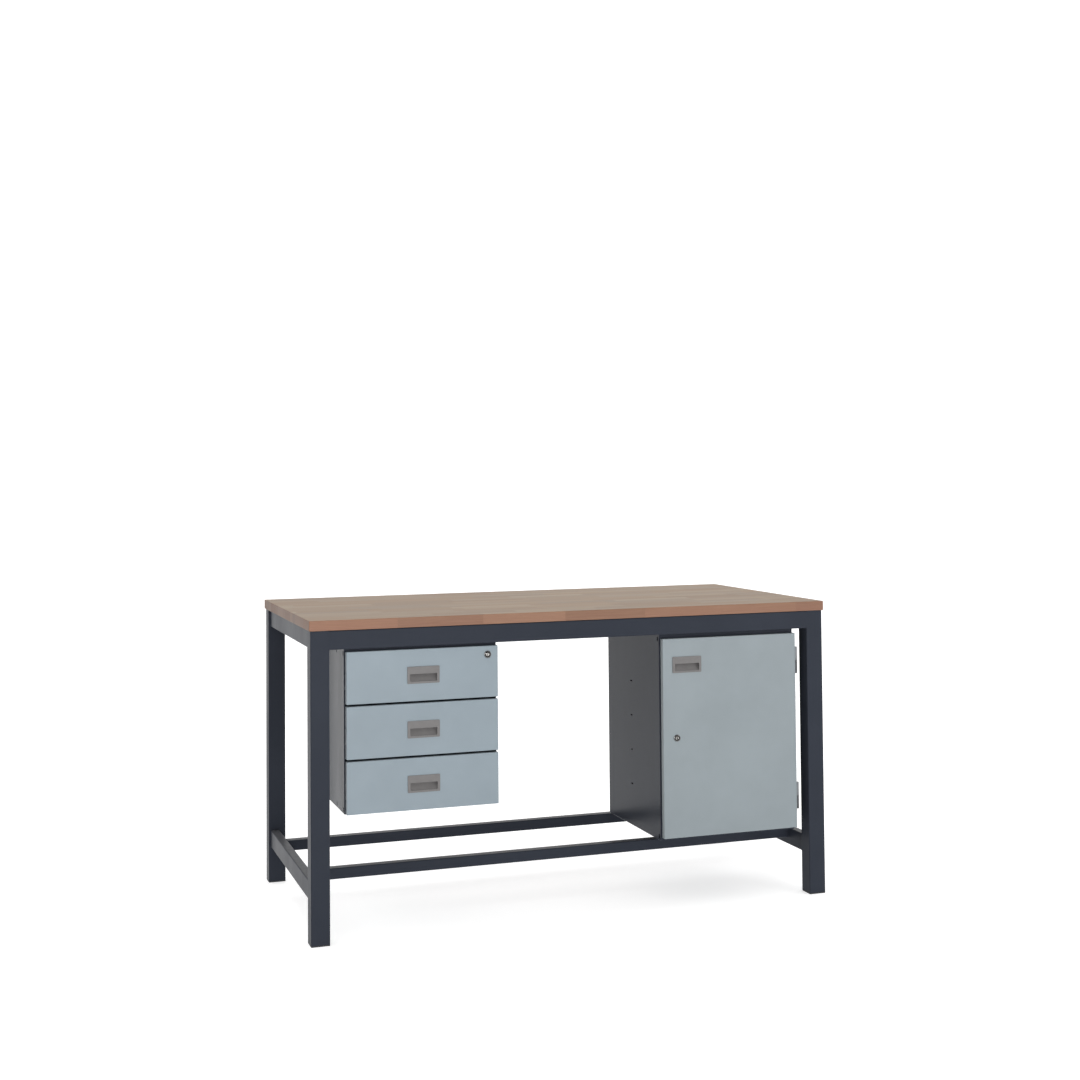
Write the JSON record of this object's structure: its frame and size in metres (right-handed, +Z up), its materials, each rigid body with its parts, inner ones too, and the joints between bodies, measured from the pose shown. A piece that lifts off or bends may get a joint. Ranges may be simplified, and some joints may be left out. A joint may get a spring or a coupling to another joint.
{
  "type": "workbench with drawers",
  "caption": "Welded square-tube workbench with a solid beech top, a hanging lockable drawer unit and a hanging lockable cupboard.",
  "frame": {"origin": "on the floor, under the middle of the worktop", "axes": "+Z up, +X to the right of a person standing in front of the bench, -Y towards that person, so drawers pull along -Y"},
  "size_m": [1.5, 0.75, 0.84],
  "materials": {
    "frame_paint": "anthracite powder coat, semi-gloss, faint orange peel",
    "carcass_paint": "anthracite powder coat on folded sheet, semi-gloss",
    "front_paint": "light blue-grey powder coat, satin",
    "beech": "solid beech staves, finger jointed and oiled",
    "pull_plastic": "moulded warm grey plastic, satin",
    "foot_plastic": "moulded black plastic",
    "zinc_steel": "bright zinc plate",
    "chrome": "polished chrome plate"
  },
  "bodies": {
    "bench": {"carcass_bottom_runner_left": "zinc_steel", "carcass_bottom_runner_right": "zinc_steel", "carcass_middle_runner_left": "zinc_steel", "carcass_middle_runner_right": "zinc_steel", "carcass_top_runner_left": "zinc_steel", "carcass_top_runner_right": "zinc_steel", "cupboard_carcass": "carcass_paint", "cupboard_shelf": "carcass_paint", "drawer_carcass": "carcass_paint", "foot_front_left": "foot_plastic", "foot_front_right": "foot_plastic", "foot_rear_left": "foot_plastic", "foot_rear_right": "foot_plastic", "hanger_cupboard_left": "frame_paint", "hanger_cupboard_right": "frame_paint", "hanger_drawers_left": "frame_paint", "hanger_drawers_right": "frame_paint", "hinge_lower_frame_half": "zinc_steel", "hinge_upper_frame_half": "zinc_steel", "leg_front_left": "frame_paint", "leg_front_right": "frame_paint", "leg_rear_left": "frame_paint", "leg_rear_right": "frame_paint", "low_rail_left": "frame_paint", "low_rail_right": "frame_paint", "shelf_bearer_left": "zinc_steel", "shelf_bearer_right": "zinc_steel", "stretcher_front": "frame_paint", "stretcher_rear": "frame_paint", "top_rail_front": "frame_paint", "top_rail_left": "frame_paint", "top_rail_rear": "frame_paint", "top_rail_right": "frame_paint", "worktop": "beech"},
    "drawer_top": {"drawer_lock_barrel": "chrome", "drawer_top_box": "carcass_paint", "drawer_top_front": "front_paint", "drawer_top_pull": "pull_plastic", "drawer_top_runner_left": "zinc_steel", "drawer_top_runner_right": "zinc_steel"},
    "drawer_middle": {"drawer_middle_box": "carcass_paint", "drawer_middle_front": "front_paint", "drawer_middle_pull": "pull_plastic", "drawer_middle_runner_left": "zinc_steel", "drawer_middle_runner_right": "zinc_steel"},
    "drawer_bottom": {"drawer_bottom_box": "carcass_paint", "drawer_bottom_front": "front_paint", "drawer_bottom_pull": "pull_plastic", "drawer_bottom_runner_left": "zinc_steel", "drawer_bottom_runner_right": "zinc_steel"},
    "drawer_lock": {"drawer_lock_cam": "zinc_steel", "drawer_lock_plug": "chrome"},
    "door": {"door_lock_barrel": "chrome", "door_panel": "front_paint", "door_pull": "pull_plastic", "hinge_lower_door_half": "zinc_steel", "hinge_upper_door_half": "zinc_steel"},
    "door_lock": {"door_lock_cam": "zinc_steel", "door_lock_plug": "chrome"}
  },
  "joints": [
    {"name": "drawer_top_slide", "type": "slide", "parent": "bench", "child": "drawer_top", "axis": [0, -1, 0], "range_m": [0, 0.3]},
    {"name": "drawer_middle_slide", "type": "slide", "parent": "bench", "child": "drawer_middle", "axis": [0, -1, 0], "range_m": [0, 0.3]},
    {"name": "drawer_bottom_slide", "type": "slide", "parent": "bench", "child": "drawer_bottom", "axis": [0, -1, 0], "range_m": [0, 0.3]},
    {"name": "drawer_lock_turn", "type": "hinge", "parent": "drawer_top", "child": "drawer_lock", "pos_m": [-0.264, -0.364, 0.7307], "axis": [0, 1, 0], "range_deg": [0, 90]},
    {"name": "door_swing", "type": "hinge", "parent": "bench", "child": "door", "pos_m": [0.6673, -0.356, 0.47725], "axis": [0, 0, 1], "range_deg": [0, 110]},
    {"name": "door_lock_turn", "type": "hinge", "parent": "door", "child": "door_lock", "pos_m": [0.289, -0.364, 0.4712], "axis": [0, 1, 0], "range_deg": [0, 90]}
  ]
}
